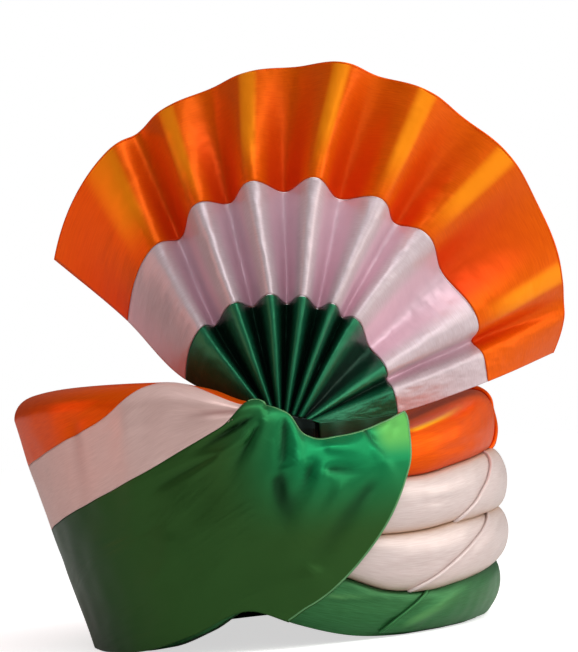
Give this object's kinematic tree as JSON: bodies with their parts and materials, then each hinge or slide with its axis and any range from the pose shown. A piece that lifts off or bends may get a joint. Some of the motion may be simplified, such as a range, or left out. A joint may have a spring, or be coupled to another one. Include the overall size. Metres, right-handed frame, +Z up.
{
  "type": "tied turban",
  "caption": "Ready-tied satin turban in saffron, white and green stripes, with wound rolls round an open head hollow, a smooth front wrap and a tall pleated fan.",
  "frame": {"origin": "middle of the bounding box's base, on the surface that the rim rests on", "axes": "+Z up, -Y towards the front with the fan, +X to the right of someone looking at the front"},
  "size_m": [0.3042, 0.2676, 0.2972],
  "materials": {
    "saffron_satin": "satin weave",
    "white_satin": "satin weave",
    "green_satin": "satin weave",
    "crown_satin": "satin weave"
  },
  "bodies": {
    "root": {"crown_cloth": "crown_satin", "roll_green": "green_satin", "roll_white_lower": "white_satin", "roll_white_upper": "white_satin", "roll_saffron": "saffron_satin", "back_roll_green": "green_satin", "back_roll_white_lower": "white_satin", "back_roll_white_upper": "white_satin", "back_roll_saffron": "saffron_satin", "wrap_green": "green_satin", "wrap_white": "white_satin", "wrap_saffron": "saffron_satin", "fan_root": "green_satin", "fan_green": "green_satin", "fan_white": "white_satin", "fan_saffron": "saffron_satin"}
  },
  "joints": []
}
